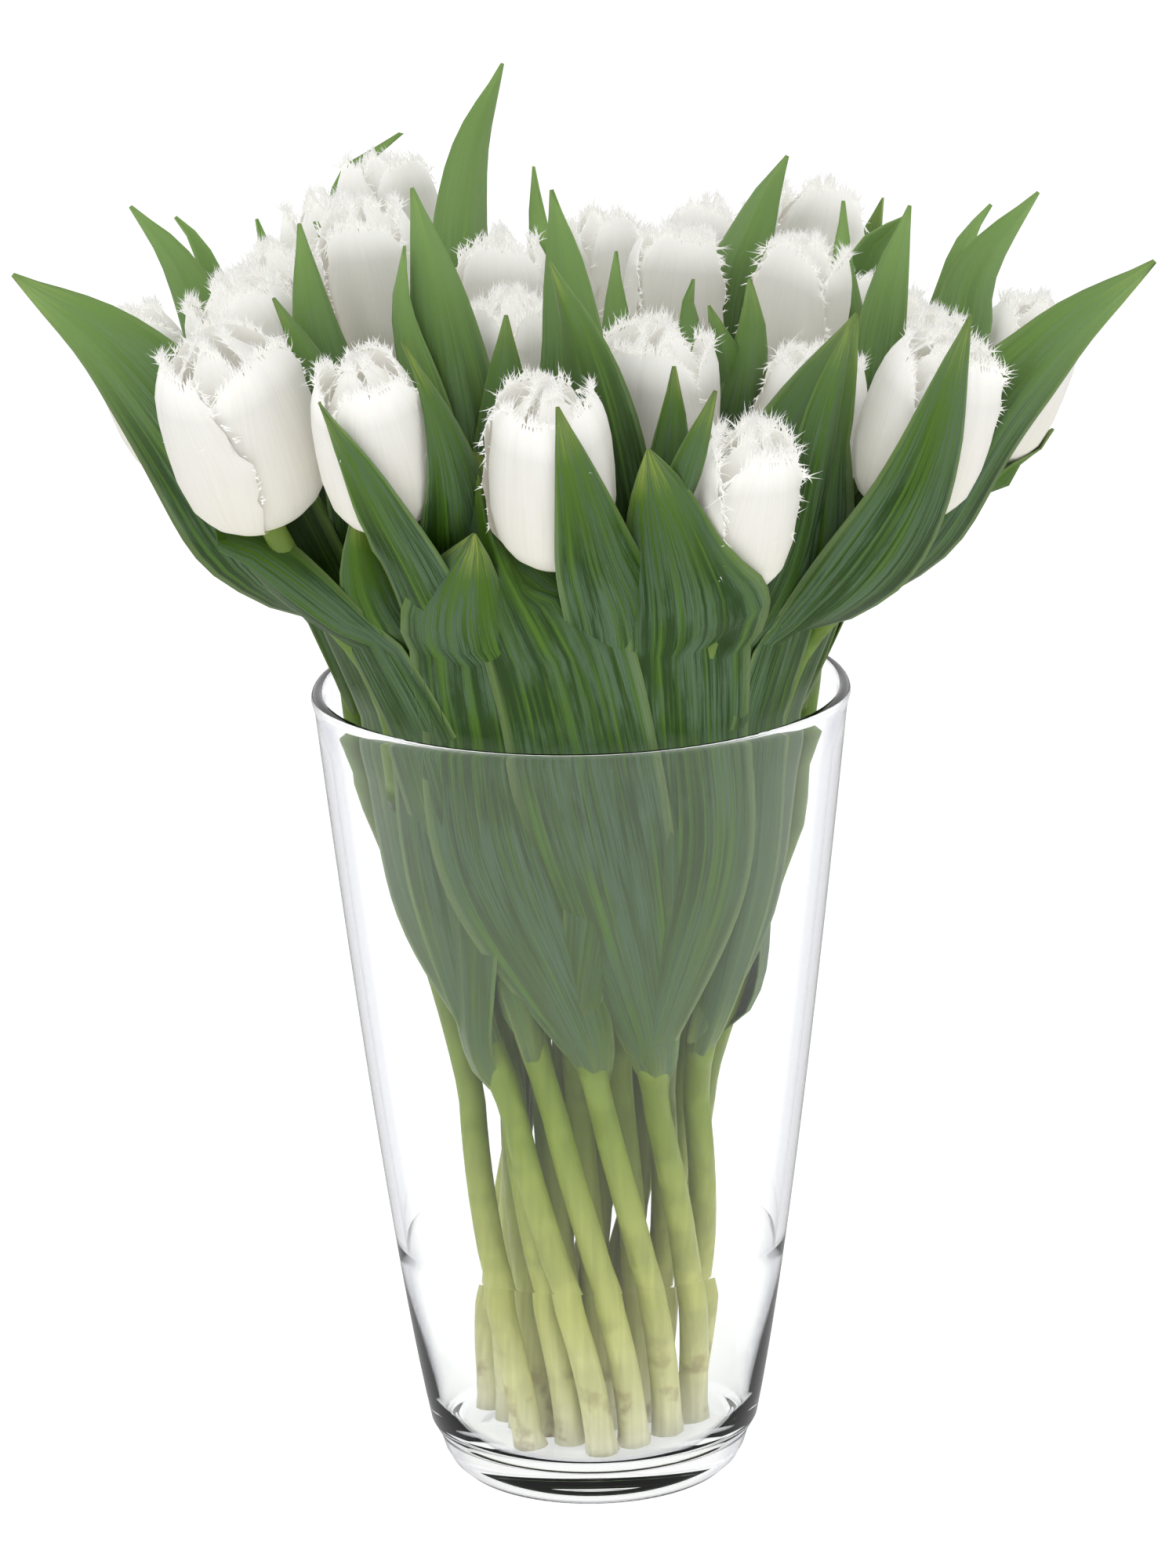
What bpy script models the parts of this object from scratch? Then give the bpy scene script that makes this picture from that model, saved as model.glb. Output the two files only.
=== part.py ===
"""A bunch of white fringed tulips standing in water in a tapered clear glass vase.

Origin: centre of the vase's foot, on the surface it stands on. +Z is up, -Y is the front.
Every place in the two lists below is in millimetres; all other sizes are in metres.
"""

import math
from functools import lru_cache

import bmesh
import bpy
from mathutils import Vector

MM = 0.001

# Vase and water
VASE_HEIGHT = 0.308
FOOT_RADIUS = 0.057
RIM_RADIUS = 0.100
VASE_TAPER = 0.75
WALL = 0.0035
FLOOR = 0.014
WATER_LEVEL = 0.092
GAP = 0.0003

# Stems
STEM_FOOT_RADIUS = 0.0056
STEM_TOP_RADIUS = 0.0045
WAIST_HEIGHT = 0.150
WAIST_SPREAD = 0.30
FOOT_SPREAD = 0.264
TWIST = math.radians(58)
TWIST_TOP = 0.215
STEM_SIDES = 6
STEM_HEIGHTS = (0.0162, 0.078, 0.140, 0.215, 0.300, 0.345)

# Leaves
LEAF_THICKNESS = 0.0008
STEP_LENGTH = 0.040
NARROW = 0.0125
BELLY = 0.60
TIP_HALF_WIDTH = 0.0014
LEAF_CLEARANCE = 0.0014
STEM_ROOM = 0.0062
STEMS_APART = 0.270
SETTLE_ROUNDS = 24

# Each tulip: its bloom's centre (x, y, z), its widest radius and its height
TULIPS = {
    "a": ((-119, -89, 426), 29, 75),
    "b": ((-71, -114, 427), 22, 68),
    "c": ((-9, -125, 417), 24, 72),
    "t": ((58, -116, 401), 20, 64),
    "u": ((124, -85, 423), 25, 70),
    "s": ((83, -44, 408), 21, 70),
    "o": ((29, -55, 417), 24, 72),
    "k": ((-21, -30, 428), 20, 66),
    "g": ((-70, -12, 458), 20, 68),
    "d": ((-116, -33, 438), 23, 66),
    "p": ((81, 9, 438), 20, 66),
    "n": ((36, 34, 438), 20, 66),
    "m": ((8, 83, 435), 20, 64),
    "j": ((-24, 42, 435), 20, 64),
    "h": ((-89, 71, 446), 20, 64),
    "i": ((-103, 26, 437), 19, 64),
    "e": ((-154, 10, 419), 20, 64),
    "f": ((-69, 114, 453), 22, 66),
    "l": ((-39, 149, 420), 20, 64),
    "q": ((88, 99, 443), 21, 66),
    "r": ((109, 52, 416), 19, 64),
    "w": ((121, -14, 420), 18, 64),
    "v": ((162, 20, 416), 21, 64),
    "x": ((51, 136, 430), 20, 64),
}

# Each leaf: its tulip, height of its node, half width, way it faces in degrees from the front,
# and the points that its midrib goes through after the node
LEAVES = [
    ("a", 165, 17, -35, (-50, -72, 267), (-94, -92, 351), (-139, -72, 410)),
    ("a", 185, 25, -15, (-111, -70, 367), (-159, -66, 442), (-200, -60, 479)),
    ("a", 180, 16, -10, (-63, -78, 313), (-77, -96, 365), (-79, -92, 401)),
    ("b", 190, 14, -32, (-50, -102, 343), (-71, -136, 409), (-89, -138, 448)),
    ("b", 180, 17, 12, (-39, -96, 349), (-46, -128, 423), (-60, -120, 465)),
    ("c", 172, 27, -4, (-30, -80, 264), (-46, -118, 344), (-36, -130, 398)),
    ("c", 185, 17, 8, (16, -100, 330), (6, -148, 396), (-6, -156, 449)),
    ("t", 168, 27, -2, (7, -84, 265), (-9, -124, 346), (-36, -116, 424)),
    ("t", 172, 25, 6, (44, -80, 273), (43, -124, 361), (25, -146, 431)),
    ("t", 230, 12, 12, (31, -104, 356), (41, -138, 421), (49, -140, 450)),
    ("u", 175, 18, 18, (79, -84, 321), (120, -118, 404), (139, -112, 469)),
    ("u", 185, 21, 24, (125, -76, 382), (170, -70, 443), (208, -60, 476)),
    ("s", 180, 28, -14, (60, -92, 335), (76, -100, 411), (100, -92, 466)),
    ("s", 230, 12, 30, (59, -84, 306), (81, -108, 402), (98, -98, 465)),
    ("o", 300, 10, 0, (29, -104, 379), (34, -110, 426), (35, -104, 451)),
    ("o", 300, 13, -24, (15, -100, 384), (4, -94, 446), (-8, -84, 485)),
    ("k", 240, 15, -4, (-24, -84, 381), (-25, -80, 434), (-24, -74, 464)),
    ("k", 240, 15, 2, (1, -74, 418), (-2, -62, 471), (-7, -54, 505)),
    ("g", 240, 16, 6, (-38, -76, 396), (-47, -62, 462), (-57, -46, 505)),
    ("g", 300, 9, -24, (-50, -78, 409), (-62, -64, 460), (-60, -56, 486)),
    ("d", 300, 10, 14, (-80, -72, 402), (-94, -74, 446), (-107, -66, 470)),
    ("i", 300, 11, 0, (-78, -52, 405), (-92, -56, 452), (-98, -42, 492)),
    ("h", 300, 9, -24, (-86, 8, 417), (-90, 26, 452), (-95, 30, 478)),
    ("h", 300, 9, -160, (-87, 60, 406), (-111, 60, 452), (-118, 62, 473)),
    ("e", 300, 11, -4, (-121, -26, 415), (-143, -6, 467), (-161, 0, 491)),
    ("e", 300, 8, -150, (-121, 30, 408), (-137, 34, 464), (-147, 38, 479)),
    ("f", 300, 10, 170, (-79, 120, 423), (-85, 128, 471), (-71, 132, 491)),
    ("l", 300, 12, 24, (-38, 60, 424), (-38, 84, 483), (-25, 84, 526)),
    ("m", 300, 9, -20, (-10, 40, 422), (-14, 54, 463), (-14, 56, 492)),
    ("n", 300, 9, 8, (45, -22, 417), (42, -2, 448), (44, 0, 460)),
    ("n", 300, 8, -10, (16, -14, 421), (15, -6, 452), (16, 0, 471)),
    ("p", 240, 15, 4, (60, -44, 401), (65, -34, 442), (64, -30, 466)),
    ("p", 300, 12, -8, (52, -46, 393), (55, -36, 432), (49, -32, 457)),
    ("q", 300, 13, -24, (55, 56, 429), (68, 66, 468), (81, 68, 492)),
    ("r", 300, 9, 14, (99, 16, 425), (99, 20, 458), (100, 20, 484)),
    ("r", 300, 14, 150, (103, 80, 417), (112, 84, 450), (127, 84, 465)),
    ("w", 300, 11, 14, (105, -33, 407), (113, -40, 454), (122, -30, 492)),
    ("v", 300, 12, 10, (138, -6, 427), (149, 4, 460), (171, 10, 488)),
    ("v", 300, 8, -10, (134, 40, 428), (145, 44, 461), (156, 48, 476)),
]

# Broad leaves that close the back of the bunch: tulip, half width, lean out and tip height
BACK_LEAVES = [
    ("x", 23, 1.30, 440),
    ("l", 24, 1.22, 452),
    ("q", 22, 1.36, 462),
    ("f", 23, 1.38, 446),
    ("h", 20, 1.36, 430),
    ("v", 20, 1.04, 400),
    ("m", 18, 1.55, 415),
]

# A bloom's outline from its base to its rim and down into its mouth: share of height, of radius
BLOOM_RINGS = [
    (0.05, 0.50),
    (0.17, 0.84),
    (0.38, 1.00),
    (0.62, 0.98),
    (0.84, 0.84),
    (1.00, 0.72),
    (0.80, 0.46),
]
BLOOM_SIDES = 18
BACK_BLOOM_SIDES = 12
BACK_ROW = 40
RIM_RING = 5
TOOTH = 0.075

# A fused body with fewer triangles than this is a scrap or sealed hollow that a Boolean left
LEAST_BODY = 100
WELD = 0.000001


def clear_scene():
    for old in list(bpy.data.objects):
        bpy.data.objects.remove(old)


def new_collection(name):
    collection = bpy.data.collections.new(name)
    bpy.context.scene.collection.children.link(collection)
    return collection


def new_material(name, colour, roughness, transmission=0.0):
    material = bpy.data.materials.new(name)
    material.use_nodes = True
    shader = material.node_tree.nodes["Principled BSDF"]
    shader.inputs["Base Color"].default_value = (*colour, 1.0)
    shader.inputs["Roughness"].default_value = roughness
    shader.inputs["Metallic"].default_value = 0.0
    shader.inputs["Transmission Weight"].default_value = transmission
    return material


def new_object(name, mesh, collection, material=None):
    made = bpy.data.objects.new(name, mesh)
    collection.objects.link(made)
    if material:
        mesh.materials.append(material)
    return made


def smoothstep(x):
    x = min(1.0, max(0.0, x))
    return x * x * (3 - 2 * x)


def vase_outer(z):
    share = min(1.0, max(0.0, z / VASE_HEIGHT))
    return FOOT_RADIUS + (RIM_RADIUS - FOOT_RADIUS) * share**VASE_TAPER


def vase_inner(z):
    thick_foot = 0.003 * (1 - smoothstep((z - FLOOR) / 0.06))
    return vase_outer(z) - WALL - thick_foot


def rim_room(z):
    """Radius that is free of glass, opening out gently above the rim."""
    return vase_inner(min(z, VASE_HEIGHT)) + 0.40 * max(0.0, z - VASE_HEIGHT)


# Stems spread from a waist inside the vase: every stem is its bloom's place scaled and turned
def spread(z):
    if z < WAIST_HEIGHT:
        return WAIST_SPREAD + (FOOT_SPREAD - WAIST_SPREAD) * (1 - z / WAIST_HEIGHT) ** 2
    rise = (z - WAIST_HEIGHT) / (0.400 - WAIST_HEIGHT)
    return WAIST_SPREAD + (1 - WAIST_SPREAD) * (0.35 * rise + 0.65 * rise**1.6)


def bloom_centre(tulip):
    return Vector(TULIPS[tulip][0]) * MM


def bloom_base_height(tulip):
    return (TULIPS[tulip][0][2] - 0.47 * TULIPS[tulip][2]) * MM


def stem_point(tulip, z):
    top = bloom_base_height(tulip)
    centre = bloom_centre(tulip)
    share = spread(z) / spread(top)
    turn = TWIST * (1 - smoothstep(z / TWIST_TOP))
    lean = 0.92
    x, y = centre.x * lean * share, centre.y * lean * share
    if z < 0.350:
        inwards = min(1.0, (rim_room(z) - 0.0075) / math.hypot(x, y))
        x, y = x * inwards, y * inwards
    return Vector(
        (
            x * math.cos(turn) - y * math.sin(turn),
            x * math.sin(turn) + y * math.cos(turn),
            z,
        )
    )


@lru_cache
def bloom_base(tulip):
    return stem_point(tulip, bloom_base_height(tulip))


@lru_cache
def bloom_axis(tulip):
    return (bloom_centre(tulip) - bloom_base(tulip)).normalized()


def bloom_outline(share):
    """Radius of a bloom, as a share of its widest, at a share of its height."""
    below = (0.0, 0.0)
    for height, radius in BLOOM_RINGS[: RIM_RING + 1]:
        if share <= height:
            t = (share - below[0]) / (height - below[0])
            return below[1] + (radius - below[1]) * t
        below = (height, radius)
    return BLOOM_RINGS[RIM_RING][1]


def clear_of_blooms(point):
    """Moves a point out of every bloom, straight away from the bloom's axis."""
    for tulip, (_, radius, height) in TULIPS.items():
        base, axis = bloom_base(tulip), bloom_axis(tulip)
        along = (point - base).dot(axis)
        share = along / (height * MM)
        if not -0.06 < share < 1.16:
            continue
        away = point - base - axis * along
        room = bloom_outline(min(1.0, max(0.10, share))) * radius * MM * 1.04
        room += LEAF_CLEARANCE
        if away.length < room:
            point = point + away.normalized() * (room - away.length)
    return point


def clear_of_stems(point, own):
    """Moves a point out of the other stems, where they stand far enough apart."""
    if not STEMS_APART < point.z < 0.440:
        return point
    for tulip in TULIPS:
        away = point - stem_point(tulip, point.z)
        if tulip != own and away.length < STEM_ROOM and point.z < bloom_base_height(tulip):
            point = point + away.normalized() * (STEM_ROOM - away.length)
    return point


def inside_vase(point):
    """Keeps a point clear of the glass, up to a little above the rim."""
    if point.z > VASE_HEIGHT + 0.040:
        return point
    room = rim_room(point.z) - 0.0042
    reach = math.hypot(point.x, point.y)
    if reach > room:
        return Vector((point.x * room / reach, point.y * room / reach, point.z))
    return point


def settle(form, own):
    """Bends a blade clear of the blooms, the other stems and the glass."""
    for _ in range(SETTLE_ROUNDS):
        for edge in form.edges:
            a, b = edge.verts
            for share in (0.0, 0.33, 0.67, 1.0):
                at = a.co.lerp(b.co, share)
                shift = inside_vase(clear_of_blooms(clear_of_stems(at, own))) - at
                a.co += shift * (1 - share)
                b.co += shift * share
        for face in form.faces:
            at = face.calc_center_median()
            shift = inside_vase(clear_of_blooms(at)) - at
            for vertex in face.verts:
                vertex.co += shift * 0.5


def curve_through(points, steps):
    """Evenly spaced points on a Catmull-Rom curve through the given ones."""
    ends = [2 * points[0] - points[1], *points, 2 * points[-1] - points[-2]]
    fine = []
    for a, b, c, d in zip(ends, ends[1:], ends[2:], ends[3:]):
        for i in range(24):
            t = i / 24
            fine.append(
                0.5
                * (
                    2 * b
                    + (c - a) * t
                    + (2 * a - 5 * b + 4 * c - d) * t * t
                    + (3 * b - a - 3 * c + d) * t**3
                )
            )
    fine.append(points[-1].copy())
    lengths = [0.0]
    for a, b in zip(fine, fine[1:]):
        lengths.append(lengths[-1] + (b - a).length)
    spaced = []
    for i in range(steps + 1):
        goal = lengths[-1] * i / steps
        k = next((n for n, at in enumerate(lengths) if at >= goal - 1e-9), len(fine) - 1)
        if k == 0:
            spaced.append(fine[0].copy())
            continue
        t = (goal - lengths[k - 1]) / max(1e-9, lengths[k] - lengths[k - 1])
        spaced.append(fine[k - 1].lerp(fine[k], t))
    return spaced


def make_vase(collection, material):
    """Blown glass vase with a thick foot, turned from one profile."""
    outer = [(vase_outer(z), z) for z in (0.010, 0.022, 0.050, 0.095, 0.160, 0.230, 0.302)]
    inner = [(vase_inner(z), z) for z in (0.302, 0.230, 0.160, WATER_LEVEL, 0.050, 0.024)]
    foot = [(0.0, 0.0), (FOOT_RADIUS - 0.007, 0.0), (FOOT_RADIUS - 0.001, 0.003)]
    lip = [(RIM_RADIUS - 0.0008, VASE_HEIGHT), (RIM_RADIUS - 0.0030, VASE_HEIGHT)]
    well = [(vase_inner(FLOOR) - 0.008, FLOOR), (0.0, FLOOR)]
    profile = foot + outer + lip + inner + well
    mesh = bpy.data.meshes.new("glass_vase")
    # A Screw profile runs down its outer side, so the outline is taken from its end
    points = [(radius, 0.0, z) for radius, z in reversed(profile)]
    mesh.from_pydata(points, [(i, i + 1) for i in range(len(points) - 1)], [])
    vase = new_object("glass_vase", mesh, collection, material)
    screw = vase.modifiers.new("turn", "SCREW")
    screw.steps = screw.render_steps = 36
    screw.use_merge_vertices = True
    screw.merge_threshold = 0.0001
    return vase


def make_stem(tulip, collection):
    """Round stem from its cut foot to just under its bloom."""
    end = bloom_base(tulip) - bloom_axis(tulip) * GAP * 2
    return make_tube("stem_" + tulip, tulip, [*STEM_HEIGHTS, end.z], 0.0, collection)


def make_hole(tulip, collection):
    """Tube round the wet part of a stem, which cuts its hole in the water."""
    return make_tube("hole_" + tulip, tulip, STEM_HEIGHTS[:3], 0.0006, collection)


def make_tube(name, tulip, heights, wider, collection):
    curve = bpy.data.curves.new(name, "CURVE")
    curve.dimensions = "3D"
    curve.bevel_depth = 1.0
    curve.bevel_resolution = (STEM_SIDES - 4) // 2
    curve.use_fill_caps = True
    line = curve.splines.new("POLY")
    line.points.add(len(heights) - 1)
    for place, z in zip(line.points, heights):
        place.co = (*stem_point(tulip, z), 1.0)
        thinner = (STEM_FOOT_RADIUS - STEM_TOP_RADIUS) * min(1, z / VASE_HEIGHT)
        place.radius = STEM_FOOT_RADIUS - thinner + wider
    if wider:
        line.points[0].co += (line.points[0].co - line.points[1].co) * 0.2
    return as_mesh(new_object(name, curve, collection))


def face_outwards(form):
    """Turns the faces of a closed form outwards."""
    bmesh.ops.recalc_face_normals(form, faces=form.faces)
    if form.calc_volume(signed=True) < 0:
        bmesh.ops.reverse_faces(form, faces=form.faces)


def as_mesh(made, weld=True, caps=False):
    """Makes an object's evaluated shape its own mesh, with loose caps welded or open ends closed."""
    graph = bpy.context.evaluated_depsgraph_get()
    mesh = bpy.data.meshes.new_from_object(made.evaluated_get(graph))
    if weld:
        form = bmesh.new()
        form.from_mesh(mesh)
        bmesh.ops.remove_doubles(form, verts=form.verts, dist=0.00002)
        if caps:
            bmesh.ops.holes_fill(form, edges=form.edges)
        face_outwards(form)
        form.to_mesh(mesh)
        form.free()
    name, collections, matrix = made.name, list(made.users_collection), made.matrix_world
    fresh = bpy.data.objects.new(name, mesh)
    fresh.matrix_world = matrix
    for collection in collections:
        collection.objects.link(fresh)
    bpy.data.objects.remove(made)
    fresh.name = name
    return fresh


def leaf_width(share):
    """Half width of a leaf, as a share of its widest, along its length."""
    if share < BELLY:
        return 0.16 + 0.84 * math.sin(0.5 * math.pi * share / BELLY)
    return max(0.02, 1 - ((share - BELLY) / (1 - BELLY)) ** 1.8)


def make_leaf(name, tulip, node, half_width, facing, places, collection):
    """Arched blade that clasps its stem at the node and follows the given places."""
    face = Vector((math.sin(facing), -math.cos(facing), 0.0))
    root = stem_point(tulip, node - 0.010)
    clasp = stem_point(tulip, node + 0.014) + face * STEM_FOOT_RADIUS * 2
    line = [root, clasp, *places]
    steps = round(sum((b - a).length for a, b in zip(line, line[1:])) / STEP_LENGTH)
    midrib = curve_through(line, steps)
    form = bmesh.new()
    columns = 1 if half_width < NARROW else 2
    bmesh.ops.create_grid(form, x_segments=columns, y_segments=steps, size=1.0)
    for vertex in form.verts:
        across = vertex.co.x
        row = round((vertex.co.y + 1) / 2 * steps)
        share = row / steps
        ahead = midrib[min(steps, row + 1)] - midrib[max(0, row - 1)]
        side = ahead.cross(face).normalized()
        normal = side.cross(ahead).normalized()
        reach = max(TIP_HALF_WIDTH, half_width * leaf_width(share))
        arch = reach * (0.75 - 0.40 * math.sin(math.pi * min(1.0, share * 1.1)))
        fold = abs(across) if columns == 2 else 0.3
        place = midrib[row] + side * across * reach - normal * fold * arch
        vertex.co = place
    settle(form, tulip)
    bmesh.ops.recalc_face_normals(form, faces=form.faces)
    mesh = bpy.data.meshes.new(name)
    form.to_mesh(mesh)
    form.free()
    leaf = new_object(name, mesh, collection)
    skin = leaf.modifiers.new("thickness", "SOLIDIFY")
    skin.thickness = LEAF_THICKNESS
    skin.offset = 0.0
    return as_mesh(leaf)


def back_leaf_places(tulip, lean, tip):
    """Midrib of a leaf that leans out behind its own bloom."""
    out = bloom_centre(tulip)
    out.z = 0.0
    waist = Vector((out.x, out.y, 0.0)).normalized() * 0.080
    belly = out * (0.60 * lean)
    return [
        Vector((waist.x, waist.y, 0.285)),
        Vector((belly.x + waist.x * 0.5, belly.y + waist.y * 0.5, 0.365)),
        Vector((out.x * lean, out.y * lean, tip * MM)),
    ]


def join_into(first, others, name, operation="UNION"):
    """Joins or cuts a solid with everything in a collection, and clears that collection."""
    step = first.modifiers.new("join", "BOOLEAN")
    step.operand_type = "COLLECTION"
    step.collection = others
    step.operation = operation
    step.solver = "MANIFOLD"
    joined = as_mesh(first, weld=False)
    for used in list(others.objects):
        bpy.data.objects.remove(used)
    joined.name = name
    return joined


def loose_bodies(form):
    """The separate bodies of a form, each as a set of its faces, largest first."""
    seen, bodies = set(), []
    for start in form.faces:
        if start in seen:
            continue
        seen.add(start)
        body, edge = set(), [start]
        while edge:
            face = edge.pop()
            body.add(face)
            for link in face.edges:
                for other in link.link_faces:
                    if other not in seen:
                        seen.add(other)
                        edge.append(other)
        bodies.append(body)
    return sorted(bodies, key=len, reverse=True)


def split_bodies(made, names, collection, material):
    """Makes an object of each body that is a stem or more. Scraps and sealed hollows go."""
    form = bmesh.new()
    form.from_mesh(made.data)
    bmesh.ops.triangulate(form, faces=form.faces)
    bmesh.ops.remove_doubles(form, verts=form.verts, dist=WELD)
    count = sum(1 for body in loose_bodies(form) if len(body) >= LEAST_BODY)
    bpy.data.objects.remove(made)
    for name, i in zip(names, range(count)):
        alone = form.copy()
        body = loose_bodies(alone)[i]
        others = [face for face in alone.faces if face not in body]
        bmesh.ops.delete(alone, geom=others, context="FACES")
        mesh = bpy.data.meshes.new(name)
        alone.to_mesh(mesh)
        alone.free()
        new_object(name, mesh, collection, material)
    form.free()


def make_bloom(tulip, collection, material):
    """Closed cup of six fringed petals, three of them outside, with a toothed open mouth."""
    (_, depth, _), radius, height = TULIPS[tulip]
    sides = BACK_BLOOM_SIDES if depth > BACK_ROW else BLOOM_SIDES
    petal = sides // 3
    name = "bloom_" + tulip
    form = bmesh.new()
    rings = len(BLOOM_RINGS)
    bmesh.ops.create_uvsphere(form, u_segments=sides, v_segments=rings + 1, radius=1.0)
    base, axis = bloom_base(tulip), bloom_axis(tulip)
    turn = sum(map(ord, tulip)) * 0.9
    side = axis.cross(Vector((math.cos(turn), math.sin(turn), 0.0))).normalized()
    other = axis.cross(side)
    for vertex in form.verts:
        polar = math.acos(max(-1.0, min(1.0, -vertex.co.z)))
        ring = round(polar / math.pi * (rings + 1)) - 1
        around = math.atan2(vertex.co.y, vertex.co.x) % math.tau
        step = round(around / math.tau * sides) % sides
        if ring < 0:
            along, reach = 0.0, 0.0
        elif ring >= rings:
            along, reach = 0.66, 0.0
        else:
            along, reach = BLOOM_RINGS[ring]
            outside = step % petal <= petal // 2
            reach *= 1.02 if outside or ring == 0 else 0.90
            if ring == RIM_RING:
                along += TOOTH * (1 if step % 2 else -1) + (0.0 if outside else 0.03)
            if ring == RIM_RING + 1:
                along += TOOTH * 0.6 * (-1 if step % 2 else 1)
        place = side * math.cos(around) + other * math.sin(around)
        vertex.co = base + axis * along * height * MM + place * reach * radius * MM
    face_outwards(form)
    mesh = bpy.data.meshes.new(name)
    form.to_mesh(mesh)
    form.free()
    return new_object(name, mesh, collection, material)


def make_water(collection, helpers, material):
    """Water that fills the vase to its level, with a plain hole where each stem stands."""
    heights = (FLOOR + GAP, 0.024, 0.050, WATER_LEVEL)
    edge = [(vase_inner(z) - GAP * 1.5 - (0.008 if z < 0.02 else 0.0), z) for z in heights]
    mesh = bpy.data.meshes.new("water")
    points = [(radius, 0.0, z) for radius, z in reversed(edge)]
    mesh.from_pydata(points, [(i, i + 1) for i in range(len(points) - 1)], [])
    water = new_object("water", mesh, collection, material)
    screw = water.modifiers.new("turn", "SCREW")
    screw.steps = screw.render_steps = 36
    screw.use_merge_vertices = True
    screw.merge_threshold = 0.0001
    water = as_mesh(water, caps=True)
    for tulip in TULIPS:
        make_hole(tulip, helpers)
    cut = join_into(water, helpers, "cut_water", "DIFFERENCE")
    split_bodies(cut, ["water"], collection, material)


def make_foliage(collection, helpers, material):
    """Stems and leaves: they press on each other all through the bunch, so they are one solid."""
    for tulip in TULIPS:
        make_stem(tulip, helpers)
    for i, (tulip, node, half_width, facing, *places) in enumerate(LEAVES):
        make_leaf(
            f"leaf_{i}",
            tulip,
            node * MM,
            half_width * MM,
            math.radians(facing),
            [Vector(place) * MM for place in places],
            helpers,
        )
    for tulip, half_width, lean, tip in BACK_LEAVES:
        centre = bloom_centre(tulip)
        facing = math.atan2(centre.x, -centre.y)
        places = back_leaf_places(tulip, lean, tip)
        make_leaf("back_" + tulip, tulip, 0.175, half_width * MM, facing, places, helpers)
    first = helpers.objects[0]
    helpers.objects.unlink(first)
    collection.objects.link(first)
    fused = join_into(first, helpers, "fused")
    names = ["foliage"] + [f"leafy_stem_{i}" for i in range(1, len(TULIPS))]
    split_bodies(fused, names, collection, material)


def main():
    clear_scene()
    bunch = new_collection("fringed_tulips_in_vase")
    helpers = new_collection("helpers")
    glass = new_material("clear_glass", (0.97, 0.99, 0.98), 0.02, 1.0)
    water = new_material("water", (0.98, 1.0, 0.99), 0.0, 1.0)
    petal = new_material("white_petal", (0.92, 0.91, 0.86), 0.55)
    green = new_material("tulip_green", (0.10, 0.24, 0.07), 0.45)
    make_vase(bunch, glass)
    make_foliage(bunch, helpers, green)
    make_water(bunch, helpers, water)
    for tulip in TULIPS:
        make_bloom(tulip, bunch, petal)


main()
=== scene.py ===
"""Looks of a bunch of white fringed tulips that stands in water in a tapered clear glass vase.

Sizes are in metres, and places in the lists of tulips and leaves are in millimetres. +Z is up,
-Y is the front, and the origin is the centre of the vase's foot.
"""

import math
import random

import bmesh
import bpy
import numpy as np
from mathutils import Matrix, Vector


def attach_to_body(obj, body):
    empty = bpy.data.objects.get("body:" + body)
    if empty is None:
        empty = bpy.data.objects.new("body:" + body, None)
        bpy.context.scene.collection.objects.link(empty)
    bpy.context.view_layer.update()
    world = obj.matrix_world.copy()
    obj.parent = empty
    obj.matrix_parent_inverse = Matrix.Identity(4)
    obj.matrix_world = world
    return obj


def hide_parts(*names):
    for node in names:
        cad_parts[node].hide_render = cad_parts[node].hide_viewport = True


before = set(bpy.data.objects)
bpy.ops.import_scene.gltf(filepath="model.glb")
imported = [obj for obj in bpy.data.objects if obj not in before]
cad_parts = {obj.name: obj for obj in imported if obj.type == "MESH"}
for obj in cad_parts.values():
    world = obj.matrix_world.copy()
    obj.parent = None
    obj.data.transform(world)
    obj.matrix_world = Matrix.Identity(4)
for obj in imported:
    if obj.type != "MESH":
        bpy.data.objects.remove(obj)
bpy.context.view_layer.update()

# Camera
# The photo is taken from a little above, with a long lens and the camera turned slightly.
camera_data = bpy.data.cameras.new("camera")
camera_data.sensor_fit = "VERTICAL"
camera_data.sensor_height = 36.0
camera_data.lens = 159.9
camera_data.clip_end = 20.0
camera = bpy.data.objects.new("camera", camera_data)
bpy.context.scene.collection.objects.link(camera)
pitch, roll = 0.2809, 0.0187
ahead = Vector((0.0, math.cos(pitch), -math.sin(pitch)))
across = Vector((1.0, 0.0, 0.0))
upwards = across.cross(ahead)
camera_x = across * math.cos(roll) - upwards * math.sin(roll)
camera_y = across * math.sin(roll) + upwards * math.cos(roll)
turned = Matrix((camera_x, camera_y, -ahead)).transposed().to_4x4()
camera.matrix_world = Matrix.Translation((0.002, -2.5, 0.9898)) @ turned
bpy.context.scene.camera = camera

# Studio
# White floor and a white room, with a soft box on each side in front. Reflections see a room and
# a floor that are dimmer in front, as in a photo studio, so that the glass stays clear.
world = bpy.data.worlds.new("white_room")
world.use_nodes = True
room_nodes, room_links = world.node_tree.nodes, world.node_tree.links
room = room_nodes["Background"]
room.inputs["Color"].default_value = (1.0, 1.0, 1.0, 1.0)
seen = room_nodes.new("ShaderNodeLightPath")
either = room_nodes.new("ShaderNodeMath")
either.operation = "MAXIMUM"
room_links.new(seen.outputs["Is Camera Ray"], either.inputs[0])
room_links.new(seen.outputs["Is Transmission Ray"], either.inputs[1])
way = room_nodes.new("ShaderNodeTexCoord")
way_parts = room_nodes.new("ShaderNodeSeparateXYZ")
room_links.new(way.outputs["Generated"], way_parts.inputs["Vector"])
behind = room_nodes.new("ShaderNodeMapRange")
behind.inputs["From Min"].default_value = -0.45
behind.inputs["From Max"].default_value = 0.55
behind.inputs["To Min"].default_value = 0.24
behind.inputs["To Max"].default_value = 0.95
room_links.new(way_parts.outputs["Y"], behind.inputs["Value"])
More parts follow.
